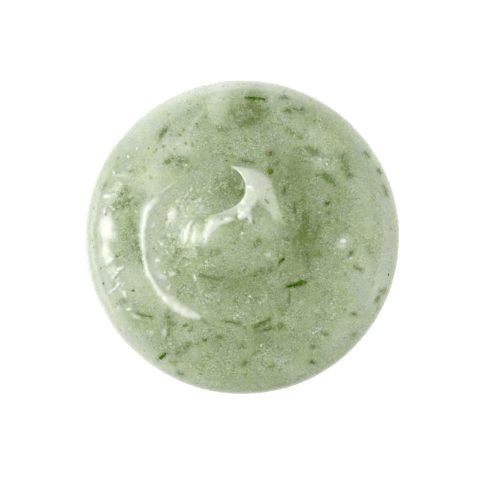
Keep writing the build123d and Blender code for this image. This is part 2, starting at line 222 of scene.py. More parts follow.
# ---- the puck's outline
def outline():
    """From the crown's middle to the underside's: rows of radius, height and both of the normal."""
    big = (RADIUS**2 + CROWN_SAG**2) / (2 * CROWN_SAG)
    shoulder_r = RADIUS - SHOULDER
    shoulder_z = CROWN - big + sqrt((big - SHOULDER) ** 2 - shoulder_r**2)
    rows = []
    edge = atan2(shoulder_r, shoulder_z - (CROWN - big))
    for a in np.linspace(0, edge, 200):
        rows.append((big * sin(a), CROWN - big + big * cos(a)))
    for a in np.linspace(edge, pi / 2, 80):
        rows.append((shoulder_r + SHOULDER * sin(a), shoulder_z + SHOULDER * cos(a)))
    lean = atan2(DRAFT, SEAM)
    foot_r = RADIUS - DRAFT * (SEAM - FOOT) / SEAM - FOOT / cos(lean)
    for t in np.linspace(0, 1, 40)[1:]:
        rows.append((RADIUS, shoulder_z + t * (SEAM - shoulder_z)))
    for a in np.linspace(pi / 2 + lean, pi, 50):
        rows.append((foot_r + FOOT * sin(a), FOOT + FOOT * cos(a)))
    for t in np.linspace(0, 1, 60)[1:]:
        rows.append((foot_r * (1 - t), 0.0))
    rows = np.array(rows)
    along = np.gradient(rows, axis=0)
    along /= np.linalg.norm(along, axis=1)[:, None]
    return np.column_stack([rows, -along[:, 1], along[:, 0]])


OUTLINE = outline()
FACE_ROWS = 260  # its rows over the crown and most of the shoulder
LENGTHS = np.concatenate([[0], np.cumsum(np.hypot(*np.diff(OUTLINE[:, :2], axis=0).T))])
ON_SIDE = OUTLINE[:, 0] > RADIUS - 1
SEAM_LENGTH = LENGTHS[np.argmin(np.abs(OUTLINE[:, 1] - SEAM) + 1e3 * ~ON_SIDE)]


def on_outline(length):
    """Radius, height and normal at lengths along the outline."""
    return [np.interp(length, LENGTHS, OUTLINE[:, i]) for i in range(4)]


# ---- relief of the face
def fold(rows, x, y, sharp, count=160):
    """A fold with a crisp near side: its height, the gap to its crest and the way across it."""
    curve = spline(rows, count)
    index, distance, side = nearest_on(curve, x, y)
    near = side < 0
    far_slope = smoothstep(1, 0, distance / curve[index, 3])
    slope = np.where(near, smoothstep(sharp, 0, distance) ** 0.6, far_slope)
    along = np.gradient(curve[:, :2], axis=0)
    along /= np.linalg.norm(along, axis=1)[:, None]
    across = np.column_stack([along[:, 1], -along[:, 0]])[index]
    return curve[index, 2] * slope, np.where(near, distance, -distance), across


def stroke(rows, x, y, count=120):
    """A soft line through rows of x, y, half width, strength: its strength and how many half widths
    away it is, at each point."""
    curve = spline(rows, count)
    index, distance, _ = nearest_on(curve, x, y)
    return curve[index, 3], distance / np.maximum(curve[index, 2], 0.05)


def patch(x, y, place):
    """Distance from an oval (x, y, half length, half width, heading), in its own half sizes."""
    px, py, length, width, heading = place[:5]
    c, s = cos(radians(heading)), sin(radians(heading))
    u = ((x - px) * c + (y - py) * s) / length
    v = ((y - py) * c - (x - px) * s) / width
    return np.hypot(u, v)


def trough(x, y):
    """Depth of the finger's trough, and where it lies as 0 to 1."""
    rho = np.hypot(x - SWIRL[0], y - SWIRL[1])
    phi = np.degrees(np.arctan2(y - SWIRL[1], x - SWIRL[0])) % 360
    phi = np.where(phi < 40, phi + 360, phi)
    width = np.where(rho > TROUGH_RADIUS, TROUGH_OUTER_WIDTH, TROUGH_INNER_WIDTH)
    across = np.clip(1 - ((rho - TROUGH_RADIUS) / width) ** 2, 0, 1) ** 1.5
    track = across * smoothstep(46, 73, phi) * smoothstep(318, 230, phi)
    scoop = 1 + 0.25 * smoothstep(130, 90, phi)
    return TROUGH_DEPTH * track * scoop, track


def mound(x, y):
    """Height of the low mound inside the swirl."""
    away = np.hypot(x - MOUND[0], y - MOUND[1]) / MOUND_RADIUS
    return MOUND_HEIGHT * np.clip(1 - away**2, 0, 1) ** 1.5


def beads():
    """Tiny bubbles scattered over the frosted places: rows of x, y, radius, height."""
    dice = Random("beads")
    rows = []
    for x, y, length, width, heading, strength in FROSTS:
        c, s = cos(radians(heading)), sin(radians(heading))
        for _ in range(round(BEAD_DENSITY * strength * pi * length * width)):
            u, v = length * dice.gauss(0, 0.6), width * dice.gauss(0, 0.6)
            radius = dice.uniform(0.14, 0.3)
            rise = radius * dice.uniform(0.3, 0.6)
            rows.append((x + c * u - s * v, y + s * u + c * v, radius, rise))
    return rows


def raised(x, y):
    """Height of the ridges, dabs, bubbles and rings, and how pale they are, painted highlights and
    glints included.
    """
    points = np.column_stack([x, y, 0 * x])
    x = x + 0.26 * lumps(points, 1.1, 21) + 0.07 * lumps(points, 0.5, 24)
    y = y + 0.26 * lumps(points, 1.1, 22) + 0.07 * lumps(points, 0.5, 25)
    uneven = 1 + 0.3 * lumps(points, 1.6, 23)
    height = np.zeros(x.shape)
    pale = np.zeros(x.shape)
    for paleness, rows in RIDGES:
        rise, away = stroke(rows, x, y)
        height = np.maximum(height, rise * uneven * bell(away, 1.5))
        pale = np.maximum(pale, paleness * smoothstep(0, 0.25, rise) * smoothstep(1.6, 0.4, away))
    for place in DABS:
        away = patch(x, y, place)
        height += place[5] * smoothstep(1.5, 0.1, away)
        pale = np.maximum(pale, place[6] * smoothstep(1.5, 0.2, away))
    for px, py, radius, rise in beads():
        near = np.hypot(x - px, y - py) < 3 * radius
        away = np.hypot(x[near] - px, y[near] - py)
        height[near] += rise * bell(away, radius)
        # A painted glint on each bubble's top.
        pale[near] = np.maximum(pale[near], 0.5 * bell(away, 0.8 * radius))
    for px, py, radius, rise in RINGS:
        away = np.hypot(x - px, y - py)
        height += rise * bell(away - radius, 0.22) - 0.6 * rise * smoothstep(radius, 0, away)
    return height, pale * np.clip(uneven, 0, 1.2)


def face_relief(x, y):
    """Height of all that is drawn in the face, the trough's track, the paleness with its painted
    highlights, and the curl.
    """
    depth, track = trough(x, y)
    curl, gap, across = fold(CURL_CREST, x, y, 0.6)
    height, pale = raised(x, y)
    return mound(x, y) - depth + curl + height, track, pale, curl, gap, across


def concentric(n):
    """A square grid laid over the unit disc, denser in the middle: all its radii and angles."""
    u = np.linspace(-1, 1, n)
    u = 0.7 * u + 0.3 * u**3
    a, b = (g.ravel() for g in np.meshgrid(u, u))
    wide = np.abs(a) > np.abs(b)
    safe_a = np.where(a == 0, 1e-12, a)
    safe_b = np.where(b == 0, 1e-12, b)
    r = np.where(wide, a, b)
    phi = np.where(wide, pi / 4 * b / safe_a, pi / 2 - pi / 4 * a / safe_b)
    return np.abs(r), np.where(r < 0, phi + pi, phi)


def grid_faces(n):
    """Quads of an n by n grid of points."""
    i, j = (g.ravel() for g in np.meshgrid(np.arange(n - 1), np.arange(n - 1)))
    first = j * n + i
    return np.column_stack([first, first + 1, first + n + 1, first + n])


def grid_border(n):
    """The grid's outer points in order round it."""
    low = list(range(n))
    right = [j * n + n - 1 for j in range(1, n)]
    top = [(n - 1) * n + i for i in range(n - 2, -1, -1)]
    left = [j * n for j in range(n - 2, 0, -1)]
    return low + right + top + left


def placed(name, data):
    """A new object in the scene."""
    thing = bpy.data.objects.new(name, data)
    bpy.context.scene.collection.objects.link(thing)
    return thing


def mesh_object(name, points_mm, faces, attributes):
    """A smooth mesh object from points in millimetres, with a float attribute for each array."""
    mesh = bpy.data.meshes.new(name)
    mesh.from_pydata([tuple(p) for p in np.asarray(points_mm) * MM], [], faces)
    mesh.validate()
    for key, values in attributes.items():
        layer = mesh.attributes.new(key, "FLOAT", "POINT")
        layer.data.foreach_set("value", np.asarray(values, np.float32))
    mesh.shade_smooth()
    return placed(name, mesh)


def union_faces(parts):
    """Several (points, faces) joined into one list of points and one of faces."""
    points, faces = [], []
    for p, f in parts:
        faces += [[i + len(points) for i in face] for face in f]
        points += [tuple(q) for q in p]
    return points, faces


def tube_faces(sides, spans):
    """Faces of a tube of this many sides and spans, closed at both ends."""
    faces = []
    for ring in range(spans):
        for k in range(sides):
            a, b = ring * sides + k, ring * sides + (k + 1) % sides
            faces.append([a, b, b + sides, a + sides])
    return faces + [list(range(sides))[::-1], [spans * sides + k for k in range(sides)]]


# ---- the soap
def pour_line(phi):
    """How far the line between the pours wanders below and above its middle height."""
    return 0.35 * np.sin(phi + 0.6) + 0.22 * np.sin(3 * phi + 2.0) + 0.12 * np.sin(7 * phi)


def close_mesh(points, faces, border_ids, flip):
    """Adds the hidden face inside a border, turned over by flip: all the points and faces."""
    border = points[border_ids]
    n = len(border_ids)
    rings = [list(border_ids)]
    out = [points]
    total = len(points)
    for scale in (0.85, 0.6, 0.3):
        ring = border.copy()
        ring[:, :2] *= scale
        out.append(ring)
        rings.append(list(range(total, total + n)))
        total += n
    out.append(border.mean(0)[None, :])
    extra = []
    for a, b in zip(rings, rings[1:]):
        for i in range(n):
            j = (i + 1) % n
            extra.append([a[i], b[i], b[j], a[j]])
    last = rings[-1]
    extra += [[last[i], total, last[(i + 1) % n]] for i in range(n)]
    if flip:
        extra = [face[::-1] for face in extra]
    return np.vstack(out), [list(f) for f in faces] + extra


def skin_lumps(points, normals, left):
    """The poured skin's own waviness: broad, and lumpier on the left where it was dabbed."""
    broad = 0.08 * lumps(points, 9.0, 1)
    mid = (0.035 + 0.13 * left) * lumps(points, 3.6, 2)
    fine = (0.012 + 0.05 * left) * lumps(points, 1.5, 3)
    return points + normals * (broad + mid + fine)[:, None]


def leftness(points):
    """1 on the left shoulder of the puck, fading round it and towards the middle."""
    phi = np.degrees(np.arctan2(points[:, 1], points[:, 0])) % 360
    r = np.hypot(points[:, 0], points[:, 1])
    return towards(phi, 180, 48) * smoothstep(25, 31, r)


def revolved(phi, lengths):
    """Points and normals of the outline at these lengths along it, turned to each angle."""
    r, z, nr, nz = on_outline(lengths)
    c, s = np.cos(phi), np.sin(phi)
    return np.column_stack([r * c, r * s, z]), np.column_stack([nr * c, nr * s, nz])


def upper_pour():
    """The translucent pour with the swirl drawn in its face: points, faces and their paint."""
    r_unit, phi = concentric(UPPER_GRID)
    points, normals = revolved(phi, r_unit * (SEAM_LENGTH - pour_line(phi)))
    x, y = points[:, 0].copy(), points[:, 1].copy()
    height, track, pale, curl, gap, across = face_relief(x, y)
    lumpy = 0.13 * lumps(points, 2.4, 4) + 0.11 * lumps(points, 1.1, 5)
    lumpy += 0.06 * lumps(points, 0.6, 6)
    paint = paint_upper(points, pale, track, gap)
    points = skin_lumps(points, normals, leftness(points))
    points[:, 2] += height + track * lumpy
    lean = smoothstep(1.6, 0, np.abs(gap + 0.1)) * smoothstep(0.3, 1.6, curl) * 0.5
    points[:, :2] += across * lean[:, None]
    border = grid_border(UPPER_GRID)
    closed, faces = close_mesh(points, grid_faces(UPPER_GRID), border, flip=False)
    hidden = np.zeros(len(closed) - len(points))
    return closed, faces, {key: np.append(values, hidden) for key, values in paint.items()}


def milky_base():
    """The opaque pour under it, from the seam round the foot to the flat underside."""
    r_unit, phi = concentric(BASE_GRID)
    total = LENGTHS[-1]
    reach = total - (SEAM_LENGTH - pour_line(phi))
    points, normals = revolved(phi, total - r_unit * reach)
    flat = smoothstep(0.0, 2.0, points[:, 2])
    moved = skin_lumps(points, normals, leftness(points))
    points = points + (moved - points) * flat[:, None]
    faces = [f[::-1] for f in grid_faces(BASE_GRID).tolist()]
    return close_mesh(points, faces, grid_border(BASE_GRID), flip=True)


# ---- botanicals
def islands(node):
    """The separate flakes of a CAD node: the middle, the long axis and the points of each."""
    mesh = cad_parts[node].data
    spots = [tuple(round(c / MM, 3) for c in v.co) for v in mesh.vertices]
    root = list(range(len(spots)))

    def find(i):
        while root[i] != i:
            root[i] = root[root[i]]
            i = root[i]
        return i

    seen = {}
    for i, spot in enumerate(spots):
        root[find(i)] = find(seen.setdefault(spot, i))
    for e in mesh.edges:
        root[find(e.vertices[0])] = find(e.vertices[1])
    groups = {}
    for i, spot in enumerate(spots):
        groups.setdefault(find(i), set()).add(spot)
    flakes = []
    for points in groups.values():
        points = np.array(sorted(points))
        middle = (points.min(0) + points.max(0)) / 2
        long_axis = np.linalg.svd(points - points.mean(0))[2][0]
        flakes.append((middle, long_axis * np.sign(long_axis[0] + 1e-9), points))
    return sorted(flakes, key=lambda f: tuple(np.round(f[0], 2)))


class Skin:
    """The visible soap surface, for laying things on it."""

    def __init__(self, points, faces, milk_and_painted_light):
        self.tree = BVHTree.FromPolygons([Vector(p) for p in points], faces)
        self.milk_and_painted_light = milk_and_painted_light
        self.nearest = KDTree(len(points))
        for i, point in enumerate(points):
            self.nearest.insert(point, i)
        self.nearest.balance()

    def milk_and_painted_light_at(self, point):
        """How milky the soap is beside a point, painted light and shade included."""
        return self.milk_and_painted_light[self.nearest.find(point)[1]]

    def under(self, point, direction):
        """Where a line from above the point meets the soap."""
        above = Vector(point) + 6 * Vector(direction)
        hit = self.tree.ray_cast(above, -Vector(direction))[0]
        if hit is None:
            hit = self.tree.find_nearest(Vector(point))[0]
        return np.array(hit)


def outline_normal(x, y):
    """The soap's outward normal above (x, y), without the relief."""
    r = hypot(x, y)
    i = int(np.argmin(np.abs(OUTLINE[:FACE_ROWS, 0] - r)))
    nr, nz = OUTLINE[i, 2:]
    return np.array([nr * x / max(r, 1e-6), nr * y / max(r, 1e-6), nz])


def lay(shape, flake, skin, sunk):
    """Puts a shape's local points (along, across, up) at a flake's place and heading: on the skin,
    or where the flake is if it is sunk in the soap."""
    middle, long_axis, _ = flake
    normal = outline_normal(*middle[:2])
    along = long_axis - normal * np.dot(long_axis, normal)
    along /= np.linalg.norm(along)
    across = np.cross(normal, along)
    points = []
    for u, v, w in shape:
        spot = middle + u * along + v * across
        ground = spot if sunk else skin.under(spot, normal)
        points.append(ground + w * normal)
    return points


def size_of(flake):
    """Length along a flake's long axis and width across it."""
    middle, long_axis, points = flake
    normal = outline_normal(*middle[:2])
    across = np.cross(normal, long_axis)
    return np.ptp(points @ long_axis), np.ptp(points @ across)


def scrap(length, width, dice, rise=0.06, middle=(0.0, 0.0), heading=0.0, corners=11):
    """A torn scrap, uneven and slightly domed: points, faces and 0 to 1 from rim to heart."""
    spin = dice.uniform(0, 2 * pi)
    reach = [dice.uniform(0.55, 1.15) for _ in range(corners)]
    c, s = cos(heading), sin(heading)
    points, heart = [], []
    rings = ((1.0, -0.08), (1.0, 0.01), (0.6, 0.75 * rise), (0.25, rise))
    for share, height in rings:
        for k in range(corners):
            a = spin + 2 * pi * k / corners
            u = share * reach[k] * cos(a) * length / 2
            v = share * reach[k] * sin(a) * width / 2
            points.append((middle[0] + c * u - s * v, middle[1] + s * u + c * v, height))
            heart.append(1 - share)
    return points, tube_faces(corners, len(rings) - 1), heart


def torn_leaf(length, width, dice):
    """A piece of dried leaf: a bent, ragged strip with a knobbly middle, and scraps beside it."""
    bend = dice.uniform(-0.08, 0.08) * length
    cells = max(7, round(length / 0.24))
    points, heart = [], []
    for i in range(cells + 1):
        u = 2 * i / cells - 1
        taper = sqrt(1.0001 - abs(u) ** 5)
        upper, lower = (0.5 * width * taper * dice.uniform(0.45, 1.2) + 0.03 for _ in range(2))
        line = bend * (u * u - 0.4) + dice.uniform(-0.06, 0.06) * width
        knob = dice.uniform(0.15, 1.0) * taper
        section = [  # across, up, and 0 to 1 from rim to heart
            (upper, 0.01, 0.0), (0.5 * upper, 0.05, 0.45 * taper), (0.0, 0.09 * knob, knob),
            (-0.5 * lower, 0.05, 0.45 * taper), (-lower, 0.01, 0.0),
            (-lower, -0.08, 0.0), (upper, -0.08, 0.0),
        ]
        points += [(u * length / 2, line + v, w) for v, w, _ in section]
        heart += [inner for _, _, inner in section]
    parts = [(points, tube_faces(len(section), cells))]
    for _ in range(round(length / 1.3)):
        middle = (dice.uniform(-0.5, 0.5) * length, dice.uniform(-0.5, 0.5) * width)
        size = (dice.uniform(0.45, 0.9), dice.uniform(0.3, 0.5))
        *part, inner = scrap(*size, dice, 0.07, middle, dice.uniform(-0.5, 0.5))
        parts.append(part)
        heart += inner
    return *union_faces(parts), heart


def stalk(length, width, dice, sides=7, cells=14):
    """A thin stalk: a bent tube with knobbly thickness and closed ends."""
    bow = dice.uniform(-0.12, 0.12) * length
    points, heart = [], []
    for i in range(cells + 1):
        u = 2 * i / cells - 1
        taper = (1 - abs(u) ** 6) ** 0.5 * dice.uniform(0.6, 1.1) + 0.05
        for k in range(sides):
            a = 2 * pi * k / sides
            reach = width / 2 * taper
            v = reach * cos(a) + bow * (u * u - 0.4)
            points.append((u * length / 2, v, 0.6 * reach * sin(a)))
            heart.append(0.7 * max(0.0, sin(a)) * taper)
    return points, tube_faces(sides, cells), heart


def pebble(length, width, dice, thick, rough):
    """A lumpy grain: a ball squeezed to size, with uneven sides, sitting half in the soap."""
    grain = bmesh.new()
    bmesh.ops.create_icosphere(grain, subdivisions=3, radius=1)
    shift = Vector((dice.uniform(0, 50), dice.uniform(0, 50), dice.uniform(0, 50)))
    points, heart = [], []
    for v in grain.verts:
        swell = 1 + rough * noise.noise(v.co * 1.6 + shift)
        x, y, z = (c * swell for c in v.co)
        points.append((x * length / 2, y * width / 2, z * thick))
        heart.append(1 - hypot(v.co.x, v.co.y))
    faces = [[v.index for v in f.verts] for f in grain.faces]
    grain.free()
    return points, faces, heart


# For each CAD node of herb pieces: what draws it, its length and width against the CAD solid's, the
# material slot, and how much soap veils each, from and to.
BOTANICALS = {
    "leaf_blades": (torn_leaf, 1.05, 1.2, "green_leaf", 0.2, 0.48),
    "leaf_chips": (torn_leaf, 1.05, 1.05, "green_leaf", 0.15, 0.62),
    "suspended_leaves": (torn_leaf, 1.05, 1.2, "green_leaf", 0.2, 0.6),
    "stem_needles": (stalk, 1.05, 0.9, "olive_leaf", 0.1, 0.5),
    "herb_crumbs": (scrap, 1.1, 1.2, "olive_leaf", 0.62, 0.95),
    "amber_husks": (partial(pebble, thick=0.14, rough=0.7), 1.25, 1.25, "amber_husk", 0.25, 0.7),
    "dark_specks": (scrap, 1.1, 1.2, "dark_husk", 0.0, 0.25),
    "pale_crystals": (partial(pebble, thick=0.12, rough=0.8), 1, 1, "salt_crystal", 0.0, 0.3),
}
# The pieces that lie bare at the surface.
BARE = [
    (6.9, 15.8), (6.7, 20.1), (12.8, -11.4), (3.2, 33.4), (9.5, -5.6), (20.4, 8.1), (-19.2, -28.6),
]


def veil(flake, milk_and_painted_light, least, most, dice):
    """How much the soap hides a piece: the bare ones not at all, and more where it is milkier."""
    chance = smoothstep(0, 1, dice.random())
    if min(hypot(flake[0][0] - x, flake[0][1] - y) for x, y in BARE) < 1:
        return 0.0
    return least + (most - least) * min(1.0, chance + 2 * max(0.0, milk_and_painted_light - 0.45))


def botanical_piece(node, skin, looks):
    """One piece for all the flakes of a CAD node, each rebuilt as the thing it stands for."""
    draw, longer, wider, slot_name, least, most = BOTANICALS[node]
    dice = Random(node)
    parts, under, heart, bed = [], [], [], []
    for flake in islands(node):
        length, width = size_of(flake)
        points, faces, inner = draw(longer * length, wider * width, dice)
        parts.append((lay(points, flake, skin, sunk=node == "suspended_leaves"), faces))
        milk_and_painted_light = skin.milk_and_painted_light_at(flake[0])
        under += [veil(flake, milk_and_painted_light, least, most, dice)] * len(points)
        heart += inner
        bed += [milk_and_painted_light] * len(points)
    points, faces = union_faces(parts)
    fields = {"under": under, "heart": heart, "bed": bed}
    piece = mesh_object(node.capitalize(), points, faces, fields)
    piece.data.materials.append(looks[slot_name])
    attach(piece, "root")
    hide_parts(node)


# ---- colour fields painted on the soap
# Pale places in the pour: x, y, half length, half width, heading, strength.
PALES = [
    (-14.5, 22.5, 5.0, 3.0, 10, 0.2), (-14.5, 32.0, 5.0, 3.0, 25, 0.14),
    (-24.0, 23.0, 5.0, 4.0, 45, 0.07), (-6.0, 31.5, 4.5, 2.4, 80, 0.32),
    (-5.0, 34.5, 4.5, 2.5, 0, 0.12), (-22.0, 14.0, 5.0, 2.2, 80, 0.16),
    (-33.5, 0.0, 7.5, 2.0, 90, 0.14), (-30.5, -13.0, 5.0, 3.0, 50, 0.1),
    (-14.5, 5.5, 4.5, 2.8, 80, 0.13), (-18.5, -9.5, 4.0, 2.6, -40, 0.09),
    (-11.2, 0.0, 2.6, 2.0, -15, 0.46), (-6.2, 1.2, 3.0, 1.7, 30, 0.24),
    (4.6, 2.6, 4.6, 3.2, 60, 0.22), (14.5, 25.0, 4.5, 3.0, 0, 0.2),
    (7.0, 32.0, 6.0, 3.0, -10, 0.16), (-4.5, -5.0, 4.5, 3.5, 0, 0.1),
    (31.0, -11.5, 5.0, 3.4, 70, 0.12), (23.5, -23.5, 6.0, 2.6, 45, 0.16),
    (13.0, -32.0, 5.5, 2.8, -15, 0.19), (22.0, -29.5, 4.0, 2.6, -40, 0.08),
    (24.4, -1.2, 1.5, 1.1, 60, 0.4), (19.0, 17.6, 3.0, 1.6, -20, 0.18),
    (20.0, 24.5, 5.0, 3.0, -20, 0.12), (6.3, -4.1, 1.4, 0.9, -10, 0.25),
    (-11.4, 27.6, 1.9, 0.5, 62, 0.18), (-9.7, 29.8, 1.9, 0.5, 52, 0.18),
]
# Deeper green places. The two beside the mound, at (-15.2, -4.6) and (-11.6, -4.6), are painted
# shade, darkening where the mound's slope catches the left lamp.
DEEPS = [
    (15.0, 1.5, 9.0, 4.5, 88, 0.31), (12.0, -9.0, 8.0, 5.0, -60, 0.09),
    (2.5, 30.5, 4.0, 3.4, 90, 0.31), (-2.6, 12.0, 3.6, 2.6, 60, 0.25),
    (11.5, 14.5, 6.0, 5.0, 80, 0.26), (-27.0, 1.5, 5.0, 2.0, 86, 0.34),
    (-25.0, 8.5, 3.5, 1.2, 60, 0.22), (-1.0, -12.0, 9.0, 4.0, -10, 0.27),
    (-21.5, -21.5, 8.0, 4.0, -45, 0.2), (-29.5, 18.5, 6.0, 3.5, 60, 0.14),
    (23.5, 7.0, 12.0, 3.5, 88, 0.14), (-26.0, -5.5, 3.0, 3.0, 0, 0.12),
    (-15.0, -11.0, 5.0, 4.0, -40, 0.1), (-15.2, -4.6, 4.2, 2.4, 75, 0.24),
    (-11.6, -4.6, 2.4, 1.8, 0, 0.2), (4.5, -24.5, 5.0, 3.5, 0, 0.09),
]
# Places stained by herb that lies in the soap.
STAINS = [
    (-15.2, 17.4, 1.7, 0.9, -10, 0.4), (-12.5, 16.1, 2.6, 0.5, 8, 0.5),
    (-27.0, 15.8, 0.8, 0.5, 0, 0.4), (-29.6, 7.6, 2.8, 1.3, 8, 0.55),
    (-28.2, 9.0, 2.6, 0.4, 18, 0.4), (-26.0, 2.6, 2.4, 0.9, 86, 0.3),
    (-25.2, -4.0, 2.2, 0.7, 115, 0.55), (-33.2, 12.4, 1.7, 0.7, 65, 0.4),
    (3.4, 36.2, 1.5, 0.22, -12, 0.6), (10.3, 35.2, 0.5, 0.25, 0, 0.5),
    (10.4, 34.1, 0.6, 0.25, 0, 0.6), (-1.0, 36.8, 0.5, 0.3, 0, 0.4),
    (2.4, 31.2, 3.2, 2.6, 90, 0.5), (4.8, -24.0, 4.5, 3.5, 0, 0.2),
    (13.0, 14.0, 4.0, 4.0, 0, 0.1), (-25.5, -4.5, 3.0, 2.5, 90, 0.15),
    (2.0, 27.9, 2.1, 0.8, 15, 0.6), (-5.0, 26.7, 2.5, 0.7, -10, 0.4),
    (-2.4, 30.0, 2.2, 1.4, 80, 0.35), (-13.5, 30.2, 1.4, 1.0, 20, 0.25),
    (15.3, 25.6, 2.0, 0.6, 90, 0.35), (24.6, 18.0, 2.2, 1.1, 100, 0.5),
    (26.2, 14.6, 1.3, 0.6, -30, 0.5), (20.8, 14.4, 2.3, 0.8, -38, 0.55),
    (18.8, 15.2, 1.2, 0.4, 0, 0.4), (15.2, 5.4, 5.8, 0.55, 88, 0.6),
    (15.4, 0.9, 3.2, 1.5, 85, 0.6), (15.0, 1.4, 2.2, 0.7, 80, 0.35),
    (18.4, 4.4, 3.6, 0.5, 92, 0.35), (13.6, -1.0, 2.6, 0.9, 80, 0.3),
    (18.4, 1.0, 1.6, 0.8, 90, 0.4), (30.4, -2.6, 1.6, 1.1, -50, 0.3),
    (4.5, -8.2, 2.8, 1.0, 15, 0.45), (10.2, -17.4, 1.2, 1.1, 0, 0.35),
    (20.2, -13.6, 1.4, 1.0, 0, 0.25), (-17.4, -20.0, 2.6, 1.0, 88, 0.5),
    (-7.4, -10.3, 2.6, 0.8, -14, 0.5), (-6.2, -24.8, 1.6, 1.2, 40, 0.35),
    (-10.6, -26.0, 0.8, 0.5, 0, 0.4), (-13.2, -28.3, 0.9, 0.4, 10, 0.3),
    (0.6, -30.5, 0.8, 0.7, 0, 0.5), (-0.3, -26.0, 0.9, 0.8, 0, 0.4),
    (-8.5, -20.4, 1.6, 0.5, -15, 0.45), (5.0, -21.4, 2.8, 1.0, 20, 0.45),
    (25.0, 1.8, 0.5, 0.5, 0, 0.45), (8.6, 3.6, 1.6, 0.4, 100, 0.3),
]
# How far from its middle line a kind of herb piece stains the soap.
STAIN_REACH = {
    "leaf_blades": 0.8, "leaf_chips": 0.65, "herb_crumbs": 0.3, "stem_needles": 0.6,
    "amber_husks": 0.9, "suspended_leaves": 1.0,
}
# Bands near the rim: strength, heading and width in degrees, radius where each starts and is full.
# The first list is painted light and shade: a paler top edge, and darker right and lower-right edges
# and left shoulder. The second is painted shade on the left shoulder and on the upper-left and
# lower-left edge, where the lamps fall strongest.
RIM_PAINTED_LIGHT = [
    (0.3, 92, 28, 35.0, 36.8), (-0.2, 295, 45, 32.5, 36.5), (-0.08, 15, 50, 31.5, 35.5),
    (-0.25, 310, 55, 35.8, 37.4), (-0.09, 180, 55, 26.0, 31.0),
]
RIM_PAINTED_SHADE = [
    (0.16, 180, 55, 28.5, 33.5), (0.11, 135, 30, 34.0, 37.0), (0.11, 225, 25, 34.0, 37.0),
]
RIM_STREAKS = [(0.1, 185, 28, 33.5, 35.0)]
CURL_MILK = 0.84  # milkiness of the curl
# The pale curl runs out in two branches: rows of x, y, half width, strength.
CURL_BRANCHES = [
    [
        (-2.6, 16.8, 0.25, 0.6), (0.1, 16.0, 0.8, 1.0), (3.0, 13.9, 2.0, 1.0),
        (4.7, 11.6, 2.4, 1.0), (6.1, 9.2, 1.8, 0.85), (7.5, 6.9, 1.3, 0.75),
        (8.7, 4.6, 0.95, 0.5), (9.4, 2.4, 0.7, 0.0),
    ],
    [
        (3.2, 11.8, 2.0, 1.0), (2.1, 9.4, 1.5, 0.95), (0.8, 7.6, 1.2, 0.85),
        (-1.6, 6.4, 0.9, 0.65), (-4.2, 5.4, 0.9, 0.5), (-7.4, 4.4, 0.8, 0.45),
    ],
]


def blotches(x, y, places):
    """The strength of a list of soft oval places at each point."""
    total = np.zeros(x.shape)
    for place in places:
        total += place[5] * bell(patch(x, y, place), 1.0)
    return total


def near_rim(phi, r, bands):
    """The strength of a list of bands near the rim at each point."""
    return sum(strength * towards(phi, heading, width) * smoothstep(low, high, r)
               for strength, heading, width, low, high in bands)


def paint_upper(points, raised_pale_and_highlight, track, gap):
    """The upper pour's fields: milkiness with painted light and shade, painted shade, paleness with
    painted highlights and glints, stains, frost, and away from the seam.
    """
    x, y, z = points.T
    xw = x + 1.2 * lumps(points, 4.0, 8) + 0.4 * lumps(points, 1.5, 11)
    yw = y + 1.2 * lumps(points, 4.0, 9) + 0.4 * lumps(points, 1.5, 12)
    r = np.hypot(x, y)
    phi = np.degrees(np.arctan2(y, x)) % 360
    # Paler towards the left; paler towards the right as painted light, lifting the right shoulder
    # that the lamps leave darker; paler near the edge all round; then the rim bands of painted light
    # and shade.
    milk_and_painted_light = 0.4 + 0.32 * smoothstep(-2, -29, x) + 0.2 * smoothstep(16, 33, x)
    milk_and_painted_light += 0.16 * smoothstep(32.5, 36.5, r) + near_rim(phi, r, RIM_PAINTED_LIGHT)
    streaks = np.sin(2 * pi * r / 1.7 + 1.5 * lumps(points, 5.0, 14))
    milk_and_painted_light += streaks * near_rim(phi, r, RIM_STREAKS)
    # Painted light: the trough's outer wall on the left, turned away from the left lamp, is painted
    # paler.
    wall = smoothstep(14.5, 18.0, np.hypot(x - SWIRL[0], y - SWIRL[1]))
    milk_and_painted_light += 0.14 * wall * track**0.5 * smoothstep(0, -12, x)
    milk_and_painted_light += blotches(xw, yw, PALES) - blotches(xw, yw, DEEPS)
    band = np.zeros(x.shape)
    for rows in CURL_BRANCHES:
        strength, away = stroke(rows, x, y)
        band = np.maximum(band, strength * smoothstep(1.5, 0.55, away))
    band = band * smoothstep(0.5, 0.1, gap)
    milk_and_painted_light = milk_and_painted_light * (1 - band) + CURL_MILK * band
    stain = blotches(xw, yw, STAINS)
    for node, reach in STAIN_REACH.items():
        for middle, long_axis, corners in islands(node):
            half = np.ptp(corners @ long_axis) / 2
            close = np.hypot(x - middle[0], y - middle[1]) < half + 3
            t = np.clip((points[close] - middle) @ long_axis, -half, half)
            away = points[close] - middle - t[:, None] * long_axis
            mark = 0.5 * bell(np.hypot(away[:, 0], away[:, 1]), reach)
            stain[close] = np.maximum(stain[close], mark)
    return {
        "milk_and_painted_light": milk_and_painted_light,
        "painted_shade": near_rim(phi, r, RIM_PAINTED_SHADE),
        "pale": np.clip(raised_pale_and_highlight + 0.34 * band, 0, 1),
        "stain": np.clip(stain * (1 - 0.8 * band), 0, 1),
        "frost": np.clip(blotches(xw, yw, FROSTS) + 0.15 * track, 0, 1),
        "seam": smoothstep(0, SEAM_FADE, z - SEAM),
    }


